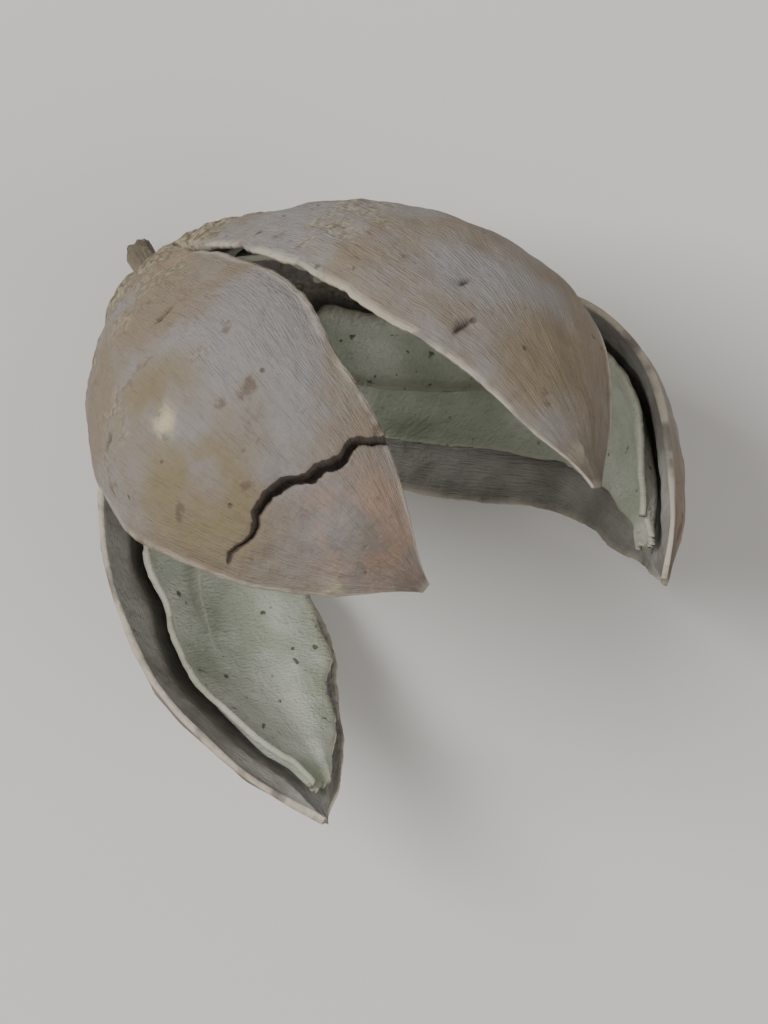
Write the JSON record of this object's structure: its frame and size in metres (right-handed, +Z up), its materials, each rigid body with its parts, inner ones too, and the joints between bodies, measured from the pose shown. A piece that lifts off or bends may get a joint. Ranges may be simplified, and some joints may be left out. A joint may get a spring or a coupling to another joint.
{
  "type": "dried bakuli pod",
  "caption": "A woody dried seed capsule, split open into boat-shaped valves round a winged column, with loose pale linings inside and a stalk stub at its base.",
  "frame": {"origin": "middle of the pod's bounding box, on the ground that it lies on", "axes": "+Z up from the ground; the mouth faces -Y and upwards, and the stalk end points to +Y"},
  "size_m": [0.0344, 0.0366, 0.0314],
  "materials": {
    "husk": "dry and matt, wrinkled, crusted round the base",
    "lining": "pale grey-green papery skin, matt",
    "column": "dry and fibrous, matt"
  },
  "bodies": {
    "root": {"husk": "husk", "lining_right": "lining", "lining_front": "lining", "lining_left": "lining", "lining_back": "lining", "column": "column"}
  },
  "joints": []
}
